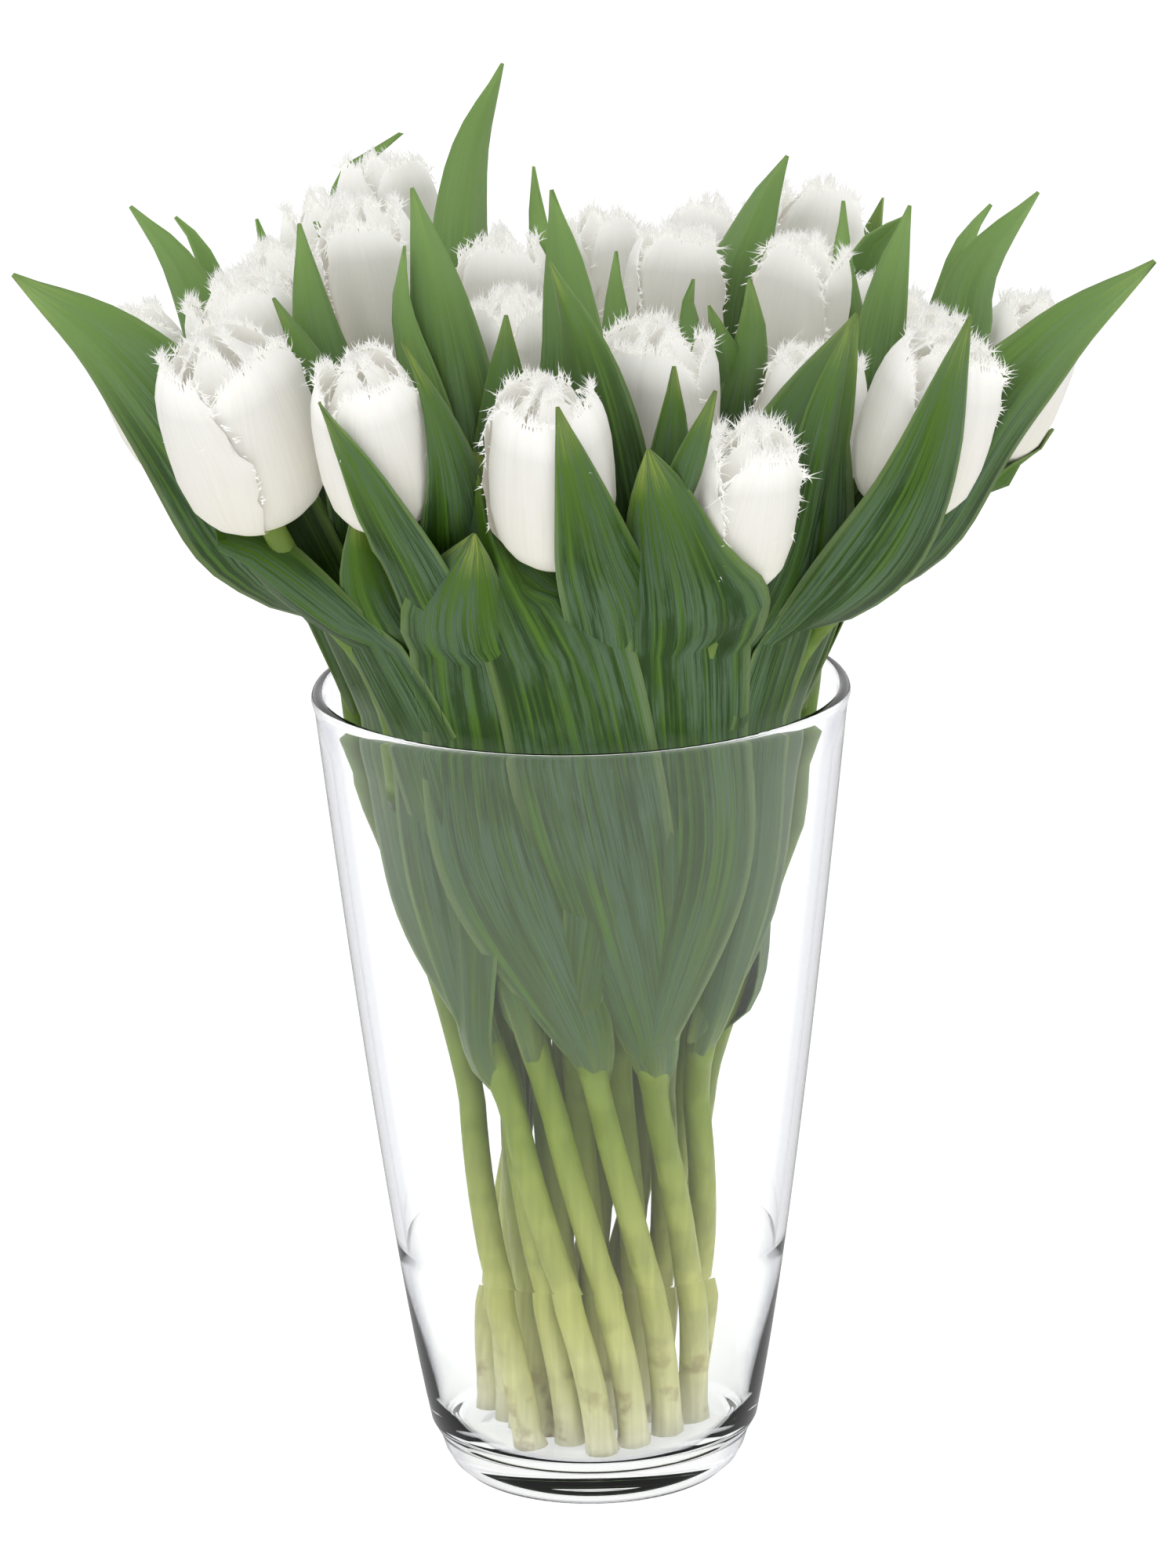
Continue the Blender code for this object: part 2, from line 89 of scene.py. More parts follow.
mirrored = room_nodes.new("ShaderNodeMapRange")
mirrored.inputs["To Min"].default_value = 0.62
room_links.new(behind.outputs["Result"], mirrored.inputs["To Max"])
room_links.new(seen.outputs["Is Glossy Ray"], mirrored.inputs["Value"])
strength = room_nodes.new("ShaderNodeMapRange")
strength.inputs["To Max"].default_value = 1.05
room_links.new(mirrored.outputs["Result"], strength.inputs["To Min"])
room_links.new(either.outputs["Value"], strength.inputs["Value"])
room_links.new(strength.outputs["Result"], room.inputs["Strength"])
bpy.context.scene.world = world
bpy.context.scene.view_settings.view_transform = "Standard"

floor_form = bmesh.new()
bmesh.ops.create_grid(floor_form, x_segments=1, y_segments=1, size=4.0)
floor_mesh = bpy.data.meshes.new("floor")
floor_form.to_mesh(floor_mesh)
floor_form.free()
floor = bpy.data.objects.new("floor", floor_mesh)
bpy.context.scene.collection.objects.link(floor)
floor_paint = bpy.data.materials.new("white_floor")
floor_paint.use_nodes = True
floor_shader = floor_paint.node_tree.nodes["Principled BSDF"]
floor_shader.inputs["Base Color"].default_value = (0.93, 0.93, 0.93, 1.0)
floor_shader.inputs["Roughness"].default_value = 0.9
floor_shader.inputs["Emission Color"].default_value = (1.0, 1.0, 1.0, 1.0)
floor_shader.inputs["Emission Strength"].default_value = 0.55
floor_nodes, floor_links = floor_paint.node_tree.nodes, floor_paint.node_tree.links
in_mirror = floor_nodes.new("ShaderNodeLightPath")
dim = floor_nodes.new("ShaderNodeEmission")
dim.inputs["Strength"].default_value = 0.42
floor_mix = floor_nodes.new("ShaderNodeMixShader")
only_mirror = floor_nodes.new("ShaderNodeMath")
only_mirror.operation = "SUBTRACT"
only_mirror.use_clamp = True
floor_links.new(in_mirror.outputs["Is Glossy Ray"], only_mirror.inputs[0])
floor_links.new(in_mirror.outputs["Is Transmission Ray"], only_mirror.inputs[1])
floor_links.new(only_mirror.outputs["Value"], floor_mix.inputs["Fac"])
floor_links.new(floor_shader.outputs["BSDF"], floor_mix.inputs[1])
floor_links.new(dim.outputs["Emission"], floor_mix.inputs[2])
floor_links.new(floor_mix.outputs["Shader"], floor_nodes["Material Output"].inputs["Surface"])
floor_mesh.materials.append(floor_paint)


def soft_box(name, place, aim, size, watts):
    lamp = bpy.data.lights.new(name, "AREA")
    lamp.shape = "RECTANGLE"
    lamp.size, lamp.size_y = size
    lamp.energy = watts
    holder = bpy.data.objects.new(name, lamp)
    bpy.context.scene.collection.objects.link(holder)
    towards = Vector(aim) - Vector(place)
    holder.location = place
    holder.rotation_euler = towards.to_track_quat("-Z", "Y").to_euler()
    holder.visible_glossy = False


soft_box("key", (-1.1, -1.5, 1.9), (0.0, 0.0, 0.35), (1.2, 1.2), 10.0)
soft_box("fill", (1.6, -1.2, 0.9), (0.0, 0.0, 0.30), (1.2, 1.6), 5.0)

# Tulips
# Where each tulip of the bunch stands: its bloom's centre, widest radius and height. The stems
# fan out from a waist inside the vase and are turned round it like a tied bunch.
MM = 0.001
FRONT_ROWS = 40
TULIPS = {
    "a": ((-119, -89, 426), 29, 75),
    "b": ((-71, -114, 427), 22, 68),
    "c": ((-9, -125, 417), 24, 72),
    "t": ((58, -116, 401), 20, 64),
    "u": ((124, -85, 423), 25, 70),
    "s": ((83, -44, 408), 21, 70),
    "o": ((29, -55, 417), 24, 72),
    "k": ((-21, -30, 428), 20, 66),
    "g": ((-70, -12, 458), 20, 68),
    "d": ((-116, -33, 438), 23, 66),
    "p": ((81, 9, 438), 20, 66),
    "n": ((36, 34, 438), 20, 66),
    "m": ((8, 83, 435), 20, 64),
    "j": ((-24, 42, 435), 20, 64),
    "h": ((-89, 71, 446), 20, 64),
    "i": ((-103, 26, 437), 19, 64),
    "e": ((-154, 10, 419), 20, 64),
    "f": ((-69, 114, 453), 22, 66),
    "l": ((-39, 149, 420), 20, 64),
    "q": ((88, 99, 443), 21, 66),
    "r": ((109, 52, 416), 19, 64),
    "w": ((121, -14, 420), 18, 64),
    "v": ((162, 20, 416), 21, 64),
    "x": ((51, 136, 430), 20, 64),
}
VASE_HEIGHT = 0.308
RIM_RADIUS = 0.100
FOOT_RADIUS = 0.057
VASE_TAPER = 0.75
WALL = 0.0035
VASE_FLOOR = 0.014
FLARE = 0.40
STEM_FOOT = 0.0162
TWIST = math.radians(58)
TWIST_TOP = 0.215
WAIST_HEIGHT, WAIST_SPREAD = 0.150, 0.30


def smoothstep(x):
    x = min(1.0, max(0.0, x))
    return x * x * (3 - 2 * x)


def vase_outer(z):
    share = min(1.0, max(0.0, z / VASE_HEIGHT))
    return FOOT_RADIUS + (RIM_RADIUS - FOOT_RADIUS) * share**VASE_TAPER


def vase_inner(z):
    return vase_outer(z) - WALL - 0.003 * (1 - smoothstep((z - VASE_FLOOR) / 0.06))


def rim_room(z):
    """Radius that is free of glass, opening out gently above the rim."""
    return vase_inner(min(z, VASE_HEIGHT)) + FLARE * max(0.0, z - VASE_HEIGHT)


def spread(z):
    """Share of a bloom's distance from the middle at which its stem stands at height z."""
    if z < WAIST_HEIGHT:
        return WAIST_SPREAD - 0.036 * (1 - z / WAIST_HEIGHT) ** 2
    rise = (z - WAIST_HEIGHT) / 0.250
    return WAIST_SPREAD + 0.70 * (0.35 * rise + 0.65 * rise**1.6)


def stem_point(tulip, z):
    centre, _, height = TULIPS[tulip]
    top = (centre[2] - 0.47 * height) * MM
    share = 0.92 * MM * spread(z) / spread(top)
    turn = TWIST * (1 - smoothstep(z / TWIST_TOP))
    x, y = centre[0] * share, centre[1] * share
    tuck = 0.0075 + 0.0035 * smoothstep((z - 0.20) / 0.09)
    inwards = min(1.0, (rim_room(z) - tuck) / math.hypot(x, y))
    inwards += (1.0 - inwards) * smoothstep((z - 0.325) / 0.045)
    x, y = x * inwards, y * inwards
    return Vector(
        (x * math.cos(turn) - y * math.sin(turn), x * math.sin(turn) + y * math.cos(turn), z)
    )


bloom_base, bloom_axis = {}, {}
for tulip, (centre, _, height) in TULIPS.items():
    bloom_base[tulip] = stem_point(tulip, (centre[2] - 0.47 * height) * MM)
    bloom_axis[tulip] = (Vector(centre) * MM - bloom_base[tulip]).normalized()


def attach(piece, slot, *nodes):
    bpy.context.scene.collection.objects.link(piece)
    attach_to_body(piece, "root")
    if nodes:
        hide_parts(*nodes)


def finished(name, form, material, smooth=True):
    mesh = bpy.data.meshes.new(name)
    form.to_mesh(mesh)
    form.free()
    mesh.materials.append(material)
    mesh.polygons.foreach_set("use_smooth", [smooth] * len(mesh.polygons))
    return bpy.data.objects.new(name, mesh)


# Blooms
# A fringed tulip is a barrel of six fleshy white petals, three outside and three inside them.
# Their upper edges break up into a lace of fine forked crystals that also runs down the sides.
petal_paint = bpy.data.materials.new("white_petal")
petal_paint.use_nodes = True
nodes, links = petal_paint.node_tree.nodes, petal_paint.node_tree.links
petal_shader = nodes["Principled BSDF"]
petal_shader.inputs["Roughness"].default_value = 0.48
petal_shader.inputs["Specular IOR Level"].default_value = 0.35
petal_shader.inputs["Subsurface Weight"].default_value = 0.25
petal_shader.inputs["Subsurface Radius"].default_value = (0.004, 0.0035, 0.0025)
petal_shader.inputs["Subsurface Scale"].default_value = 1.0
# Strength of the painted glow, which stands in for light shining through the thin petals
petal_shader.inputs["Emission Strength"].default_value = 0.32
petal_map = nodes.new("ShaderNodeUVMap")
petal_map.uv_map = "petal"
stretch = nodes.new("ShaderNodeMapping")
stretch.inputs["Scale"].default_value = (46.0, 1.6, 1.0)
links.new(petal_map.outputs["UV"], stretch.inputs["Vector"])
lines = nodes.new("ShaderNodeTexNoise")
lines.inputs["Scale"].default_value = 1.0
lines.inputs["Detail"].default_value = 3.0
links.new(stretch.outputs["Vector"], lines.inputs["Vector"])
parts = nodes.new("ShaderNodeSeparateXYZ")
links.new(petal_map.outputs["UV"], parts.inputs["Vector"])
down = nodes.new("ShaderNodeValToRGB")
down.color_ramp.elements[0].position = 0.0
down.color_ramp.elements[0].color = (0.70, 0.72, 0.42, 1.0)
down.color_ramp.elements[1].position = 0.10
down.color_ramp.elements[1].color = (0.68, 0.665, 0.58, 1.0)
cream = down.color_ramp.elements.new(0.45)
cream.color = (0.72, 0.705, 0.655, 1.0)
pale = down.color_ramp.elements.new(0.95)
pale.color = (0.77, 0.765, 0.74, 1.0)
links.new(parts.outputs["Y"], down.inputs["Fac"])
# Painted glow: the petals' emission is faint low down and full at the top edge and on the fringe
# crystals, standing in for light through the petals and whitening the fringe
painted_glow = nodes.new("ShaderNodeValToRGB")
painted_glow.color_ramp.elements[0].position = 0.80
painted_glow.color_ramp.elements[0].color = (0.29, 0.28, 0.25, 1.0)
painted_glow.color_ramp.elements[1].position = 0.985
painted_glow.color_ramp.elements[1].color = (1.0, 0.995, 0.96, 1.0)
links.new(parts.outputs["Y"], painted_glow.inputs["Fac"])
links.new(painted_glow.outputs["Color"], petal_shader.inputs["Emission Color"])
shade = nodes.new("ShaderNodeMixRGB")
shade.blend_type = "MULTIPLY"
shade.inputs["Color2"].default_value = (0.93, 0.91, 0.84, 1.0)
faint = nodes.new("ShaderNodeMapRange")
faint.inputs["From Min"].default_value = 0.45
faint.inputs["From Max"].default_value = 0.75
faint.inputs["To Max"].default_value = 0.55
links.new(lines.outputs["Fac"], faint.inputs["Value"])
links.new(faint.outputs["Result"], shade.inputs["Fac"])
links.new(down.outputs["Color"], shade.inputs["Color1"])
links.new(shade.outputs["Color"], petal_shader.inputs["Base Color"])
petal_bump = nodes.new("ShaderNodeBump")
petal_bump.inputs["Strength"].default_value = 0.22
petal_bump.inputs["Distance"].default_value = 0.0006
links.new(lines.outputs["Fac"], petal_bump.inputs["Height"])
links.new(petal_bump.outputs["Normal"], petal_shader.inputs["Normal"])

BARREL = ((0.0, 0.16), (0.04, 0.47), (0.12, 0.76), (0.22, 0.92), (0.38, 1.0), (0.55, 1.0))
BARREL += ((0.72, 0.97), (0.86, 0.90), (0.95, 0.78), (1.0, 0.69), (1.1, 0.58))


def barrel_radius(share):
    heights, radii = zip(*BARREL)
    return float(np.interp(share, heights, radii))


def petal_point(u, v, petal):
    """Point of a petal in its bloom's own space: u runs across it from -1 to 1, v up it."""
    edge = abs(u)
    tip = petal["tall"] * (1.0 - petal["blunt"] * edge**3)
    height = v * tip + 0.012 * math.sin(u * petal["waves"] + petal["seed"]) * v**4
    wide = petal["wide"] * (0.80 + 0.20 * math.sin(math.pi * min(1.0, v * 1.15)))
    wide *= 1.0 - 0.16 * max(0.0, (v - 0.82) / 0.18) ** 2
    around = petal["facing"] + u * wide + petal["twist"] * v
    reach = barrel_radius(height) - petal["inside"] + petal["lap"] * u
    reach += petal["open"] * v**3 - 0.03 * (1.0 - edge) ** 6 * v
    ruffle = math.sin(v * 23.0 + petal["seed"] * 3.0 + u * 5.0)
    reach += 0.035 * edge**6 * ruffle * min(1.0, v * 2.0)
    reach = max(0.02, reach) * petal["radius"]
    return Vector((reach * math.cos(around), reach * math.sin(around), height * petal["height"]))


crystal_form = bmesh.new()
bmesh.ops.create_cone(
    crystal_form, segments=3, radius1=0.22, radius2=0.0, depth=1.0, cap_ends=False
)
bmesh.ops.translate(crystal_form, verts=crystal_form.verts, vec=(0.0, 0.0, 0.5))
bmesh.ops.bisect_plane(
    crystal_form,
    geom=crystal_form.verts[:] + crystal_form.edges[:] + crystal_form.faces[:],
    plane_co=(0.0, 0.0, 0.45),
    plane_no=(0.0, 0.0, 1.0),
)
bmesh.ops.triangulate(crystal_form, faces=crystal_form.faces)
# Each crystal takes the top of the petal map, where the petal colour is palest and the painted glow
# is full
crystal_uv = crystal_form.loops.layers.uv.new("petal")
for face in crystal_form.faces:
    for loop in face.loops:
        loop[crystal_uv].uv = (0.5, 0.99)
crystal_mesh = bpy.data.meshes.new("crystal")
crystal_form.to_mesh(crystal_mesh)
crystal_form.free()
crystal_shape = np.empty(len(crystal_mesh.vertices) * 3)
crystal_mesh.vertices.foreach_get("co", crystal_shape)
crystal_shape = crystal_shape.reshape(-1, 3)


def add_crystal(form, root, towards, length, thick, bend):
    """One fine tooth of the fringe, which narrows to a point and bends over a little."""
    z = towards.normalized()
    x = z.orthogonal().normalized()
    y = z.cross(x)
    placed = np.outer(crystal_shape[:, 0] * thick, x)
    placed += np.outer(crystal_shape[:, 1] * thick, y)
    placed += np.outer(crystal_shape[:, 2] * length, z)
    placed += np.outer(crystal_shape[:, 2] ** 2 * length, bend) + np.array(root)
    crystal_mesh.vertices.foreach_set("co", placed.ravel())
    form.from_mesh(crystal_mesh)


def make_bloom(tulip, phase, spread_open, ruffled):
    centre, radius, height = TULIPS[tulip]
    draw = random.Random(tulip)
    front = centre[1] < FRONT_ROWS
    form = bmesh.new()
    uv = form.loops.layers.uv.new("petal")
    columns, rows = (44, 18) if front else (24, 12)
    place = {}
    for i in range(6):
        outside = i % 2 == 0
        petal = {
            "radius": radius * MM * 0.94,
            "height": height * MM * 0.95,
            "facing": math.radians(phase + 60 * i + draw.uniform(-4, 4)),
            "wide": math.radians(74 if outside else 62),
            "tall": (0.99 if outside else 1.03) * draw.uniform(0.97, 1.03),
            "blunt": draw.uniform(0.04, 0.10),
            "waves": draw.uniform(3, 5),
            "seed": draw.uniform(0, 6),
            "twist": draw.uniform(-0.06, 0.06),
            "inside": 0.0 if outside else 0.12,
            "lap": 0.05,
            "open": spread_open * draw.uniform(0.4, 1.4) - (0.02 if outside else 0.34),
        }
        begin = len(form.verts)
        bmesh.ops.create_grid(form, x_segments=columns, y_segments=rows, size=1.0, calc_uvs=False)
        form.verts.ensure_lookup_table()
        grid = form.verts[begin:]
        where = {vertex: (vertex.co.x, (vertex.co.y + 1) / 2) for vertex in grid}
        for vertex, (u, v) in where.items():
            place[vertex] = (u, v)
            vertex.co = petal_point(u, v, petal)
        around = {face for vertex in grid for face in vertex.link_faces}
        bmesh.ops.recalc_face_normals(form, faces=list(around))
        belly = petal_point(0, 0.5, petal)
        middle = min(around, key=lambda face: (face.calc_center_median() - belly).length)
        out = Vector((middle.calc_center_median().x, middle.calc_center_median().y, 0.0))
        if middle.normal.dot(out) < 0:
            bmesh.ops.reverse_faces(form, faces=list(around))
        for face in around:
            for loop in face.loops:
                u, v = where[loop.vert]
                loop[uv].uv = (i + 0.5 + u * 0.45, v)
        # The margin's own teeth, then the crystals that stand out from it
        for vertex in grid:
            u, v = where[vertex]
            if v > 0.999:
                notch = draw.uniform(-0.045, 0.012) if round((u + 1) * columns / 2) % 2 else 0.02
                vertex.co = petal_point(u, 1.0 + notch * ruffled, petal)
            elif abs(u) > 0.999 and v > 0.30:
                vertex.co = petal_point(u * draw.uniform(0.93, 1.05), v, petal)
        teeth = []
        for n in range(120 if front else 60):
            teeth.append((draw.uniform(-1, 1), 1.0))
        for n in range(64 if front else 22):
            v = 1.0 - 0.75 * draw.random() ** 1.5
            teeth.append((draw.choice((-1.0, 1.0)), v))
        for u, v in teeth:
            root = petal_point(u * 0.995, v * 0.995, petal)
            inner = petal_point(u * 0.86, v * (0.93 if v == 1.0 else 1.0), petal)
            along = petal_point(u, max(0.0, v - 0.06), petal)
            outwards = (root - inner).normalized()
            side = (root - along).normalized()
            away = Vector((root.x, root.y, 0.0)).normalized()
            length = draw.uniform(0.0018, 0.0062) * (0.35 + 0.65 * v**2) * ruffled
            towards = outwards + side * draw.gauss(0.2, 0.45) + away * draw.gauss(0.30, 0.35)
            thick = draw.uniform(0.0012, 0.0022)
            bend = away * draw.uniform(-0.5, 0.5) + side * draw.uniform(-0.5, 0.5)
            add_crystal(form, root, towards, length, thick, bend)
            if draw.random() < 0.6:
                fork = root + towards.normalized() * length * 0.35
                aside = towards.normalized() + side.cross(away) * draw.uniform(-0.9, 0.9)
                add_crystal(form, fork, aside, length * 0.7, thick * 0.8, bend * -1)
    base, axis = bloom_base[tulip], bloom_axis[tulip]
    side = axis.cross(Vector((1.0, 0.0, 0.0))).normalized()
    right = side.cross(axis)
    stand = Matrix((right, side, axis)).transposed().to_4x4()
    bmesh.ops.transform(form, matrix=Matrix.Translation(base) @ stand, verts=form.verts)
    bloom = finished("tulip_" + tulip, form, petal_paint)
    attach(bloom, "petal", "bloom_" + tulip)


# Which way each bloom is turned in degrees, how far its mouth opens, and how ruffled its edge is
TURNED = {"a": (-38, 0.06, 1.1), "b": (-70, 0.0, 0.9), "c": (-130, 0.0, 1.0), "t": (-60, 0.06, 1.4)}
TURNED |= {"o": (-115, 0.10, 1.1), "u": (-60, 0.06, 1.0), "s": (-20, 0.04, 1.0)}
for number, tulip in enumerate(TULIPS):
    make_bloom(tulip, *TURNED.get(tulip, (number * 47.0, 0.04, 1.0)))


# Leaves and stems
# Each tulip has a round pale stem and broad pointed leaves that clasp it at a node. A leaf is
# folded a little along its midrib, has fine parallel veins and wears a grey-blue wax, which is
# rubbed off in streaks that show a brighter green.
LEAVES = [
    ("a", 165, 17, -35, (-50, -72, 267), (-94, -92, 351), (-139, -72, 410)),
    ("a", 185, 25, -15, (-111, -70, 367), (-159, -66, 442), (-200, -60, 479)),
    ("a", 180, 16, -10, (-63, -78, 313), (-77, -96, 365), (-79, -92, 401)),
    ("b", 190, 14, -32, (-50, -102, 343), (-71, -136, 409), (-89, -138, 448)),
    ("b", 180, 17, 12, (-39, -96, 349), (-46, -128, 423), (-60, -120, 465)),
    ("c", 172, 27, -4, (-30, -80, 264), (-46, -118, 344), (-36, -130, 398)),
    ("c", 185, 17, 8, (16, -100, 330), (6, -148, 396), (-6, -156, 449)),
    ("t", 168, 27, -2, (7, -84, 265), (-9, -124, 346), (-36, -116, 424)),
    ("t", 172, 25, 6, (44, -80, 273), (43, -124, 361), (25, -146, 431)),
    ("t", 230, 12, 12, (31, -104, 356), (41, -138, 421), (49, -140, 450)),
    ("u", 175, 18, 18, (79, -84, 321), (120, -118, 404), (139, -112, 469)),
    ("u", 185, 21, 24, (125, -76, 382), (170, -70, 443), (208, -60, 476)),
    ("s", 180, 28, -14, (60, -92, 335), (76, -100, 411), (100, -92, 466)),
    ("s", 230, 12, 30, (59, -84, 306), (81, -108, 402), (98, -98, 465)),
    ("o", 300, 10, 0, (29, -104, 379), (34, -110, 426), (35, -104, 451)),
    ("o", 300, 13, -24, (15, -100, 384), (4, -94, 446), (-8, -84, 485)),
    ("k", 240, 15, -4, (-24, -84, 381), (-25, -80, 434), (-24, -74, 464)),
    ("k", 240, 15, 2, (1, -74, 418), (-2, -62, 471), (-7, -54, 505)),
    ("g", 240, 16, 6, (-38, -76, 396), (-47, -62, 462), (-57, -46, 505)),
    ("g", 300, 9, -24, (-50, -78, 409), (-62, -64, 460), (-60, -56, 486)),
    ("d", 300, 10, 14, (-80, -72, 402), (-94, -74, 446), (-107, -66, 470)),
    ("i", 300, 11, 0, (-78, -52, 405), (-92, -56, 452), (-98, -42, 492)),
    ("h", 300, 9, -24, (-86, 8, 417), (-90, 26, 452), (-95, 30, 478)),
    ("h", 300, 9, -160, (-87, 60, 406), (-111, 60, 452), (-118, 62, 473)),
    ("e", 300, 11, -4, (-121, -26, 415), (-143, -6, 467), (-161, 0, 491)),
    ("e", 300, 8, -150, (-121, 30, 408), (-137, 34, 464), (-147, 38, 479)),
    ("f", 300, 10, 170, (-79, 120, 423), (-85, 128, 471), (-71, 132, 491)),
    ("l", 300, 12, 24, (-38, 60, 424), (-38, 84, 483), (-25, 84, 526)),
    ("m", 300, 9, -20, (-10, 40, 422), (-14, 54, 463), (-14, 56, 492)),
    ("n", 300, 9, 8, (45, -22, 417), (42, -2, 448), (44, 0, 460)),
    ("n", 300, 8, -10, (16, -14, 421), (15, -6, 452), (16, 0, 471)),
    ("p", 240, 15, 4, (60, -44, 401), (65, -34, 442), (64, -30, 466)),
    ("p", 300, 12, -8, (52, -46, 393), (55, -36, 432), (49, -32, 457)),
    ("q", 300, 13, -24, (55, 56, 429), (68, 66, 468), (81, 68, 492)),
    ("r", 300, 9, 14, (99, 16, 425), (99, 20, 458), (100, 20, 484)),
    ("r", 300, 14, 150, (103, 80, 417), (112, 84, 450), (127, 84, 465)),
    ("w", 300, 11, 14, (105, -33, 407), (113, -40, 454), (122, -30, 492)),
    ("v", 300, 12, 10, (138, -6, 427), (149, 4, 460), (171, 10, 488)),
    ("v", 300, 8, -10, (134, 40, 428), (145, 44, 461), (156, 48, 476)),
]
BACK_LEAVES = [
    ("x", 23, 1.30, 440),
    ("l", 24, 1.22, 452),
    ("q", 22, 1.36, 462),
    ("f", 23, 1.38, 446),
    ("h", 20, 1.36, 430),
    ("v", 20, 1.04, 400),
    ("m", 18, 1.55, 415),
]
# How many leaves lie between a leaf and the glass, for those that are seen through it
LAYERS = {7: 0, 5: 1, 8: 1, 0: 1, 10: 1, 12: 2, 3: 2, 6: 2}
LAYER_STEP = 0.0012
LEAF_CLEARANCE = 0.0011
OUTLINE = ((0.0, 0.50), (0.05, 0.50), (0.17, 0.84), (0.38, 1.00), (0.62, 0.98), (0.84, 0.84))
OUTLINE += ((1.0, 0.72),)


def clear_of_blooms(points, margin):
    """Moves an array of points out of every bloom, straight away from the bloom's axis."""
    for tulip, (_, radius, height) in TULIPS.items():
        base, axis = np.array(bloom_base[tulip]), np.array(bloom_axis[tulip])
        along = (points - base) @ axis
        share = along / (height * MM)
        away = points - base - along[:, None] * axis
        reach = np.linalg.norm(away, axis=1)
        heights, radii = zip(*OUTLINE)
        room = np.interp(np.clip(share, 0.10, 1.0), heights, radii) * radius * MM * 1.04 + margin
        close = (share > -0.06) & (share < 1.16) & (reach < room)
        short = np.where(close, room - reach, 0.0) / np.maximum(reach, 1e-6)
        points = points + away * short[:, None]
    return points


def inside_vase(points, layer):
    """Keeps an array of points clear of the glass, each leaf a little further in than the last."""
    z = np.clip(points[:, 2], 0.0, VASE_HEIGHT)
    room = FOOT_RADIUS + (RIM_RADIUS - FOOT_RADIUS) * (z / VASE_HEIGHT) ** VASE_TAPER - WALL
    room = room - 0.0030 - layer + FLARE * np.maximum(0.0, points[:, 2] - VASE_HEIGHT)
    reach = np.hypot(points[:, 0], points[:, 1])
    crosses = (reach > room) & (points[:, 2] < VASE_HEIGHT + 0.040)
    inwards = np.where(crosses, room / np.maximum(reach, 1e-6), 1.0)
    return np.column_stack((points[:, 0] * inwards, points[:, 1] * inwards, points[:, 2]))


def curve_through(points, steps):
    """Evenly spaced points on a smooth curve through the given ones."""
    ends = [2 * points[0] - points[1], *points, 2 * points[-1] - points[-2]]
    fine = []
    for a, b, c, d in zip(ends, ends[1:], ends[2:], ends[3:]):
        for i in range(24):
            t = i / 24
            near = 2 * b + (c - a) * t
            near += (2 * a - 5 * b + 4 * c - d) * t * t + (3 * b - a - 3 * c + d) * t**3
            fine.append(near * 0.5)
    fine.append(points[-1].copy())
    fine = np.array(fine)
    lengths = np.concatenate(([0.0], np.cumsum(np.linalg.norm(np.diff(fine, axis=0), axis=1))))
    goals = np.linspace(0.0, lengths[-1], steps + 1)
    return np.column_stack([np.interp(goals, lengths, fine[:, k]) for k in range(3)])


def leaf_width(share, blunt):
    if share < 0.60:
        return 0.16 + 0.84 * math.sin(0.5 * math.pi * share / 0.60)
    return max(0.0, 1 - ((share - 0.60) / 0.40) ** blunt)


# Leaf finish: wax, streaks, veins, pale margin and tip, with painted light that lightens leaves
# high up and towards the back
leaf_paint = bpy.data.materials.new("tulip_leaf")
leaf_paint.use_nodes = True
nodes, links = leaf_paint.node_tree.nodes, leaf_paint.node_tree.links
leaf_shader = nodes["Principled BSDF"]
leaf_shader.inputs["Specular IOR Level"].default_value = 0.35
leaf_map = nodes.new("ShaderNodeUVMap")
leaf_map.uv_map = "leaf"
parts = nodes.new("ShaderNodeSeparateXYZ")
links.new(leaf_map.outputs["UV"], parts.inputs["Vector"])


def streaks(across, along, detail, low, high):
    """Noise drawn out along the leaf, as a mask between two levels."""
    drawn = nodes.new("ShaderNodeMapping")
    drawn.inputs["Scale"].default_value = (across, along, 1.0)
    links.new(leaf_map.outputs["UV"], drawn.inputs["Vector"])
    noise = nodes.new("ShaderNodeTexNoise")
    noise.inputs["Scale"].default_value = 1.0
    noise.inputs["Detail"].default_value = detail
    noise.inputs["Roughness"].default_value = 0.6
    links.new(drawn.outputs["Vector"], noise.inputs["Vector"])
    mask = nodes.new("ShaderNodeMapRange")
    mask.inputs["From Min"].default_value = low
    mask.inputs["From Max"].default_value = high
    links.new(noise.outputs["Fac"], mask.inputs["Value"])
    return mask.outputs["Result"]


def mix_colours(fac, first, second):
    mix = nodes.new("ShaderNodeMixRGB")
    for socket, value in (("Fac", fac), ("Color1", first), ("Color2", second)):
        if isinstance(value, bpy.types.NodeSocket):
            links.new(value, mix.inputs[socket])
        else:
            mix.inputs[socket].default_value = value
    return mix.outputs["Color"]


def ramp(value, *stops):
    steps = nodes.new("ShaderNodeValToRGB")
    steps.color_ramp.elements[0].position = stops[0][0]
    steps.color_ramp.elements[0].color = stops[0][1]
    steps.color_ramp.elements[1].position = stops[-1][0]
    steps.color_ramp.elements[1].color = stops[-1][1]
    for position, colour in stops[1:-1]:
        steps.color_ramp.elements.new(position).color = colour
    links.new(value, steps.inputs["Fac"])
    return steps.outputs["Color"]


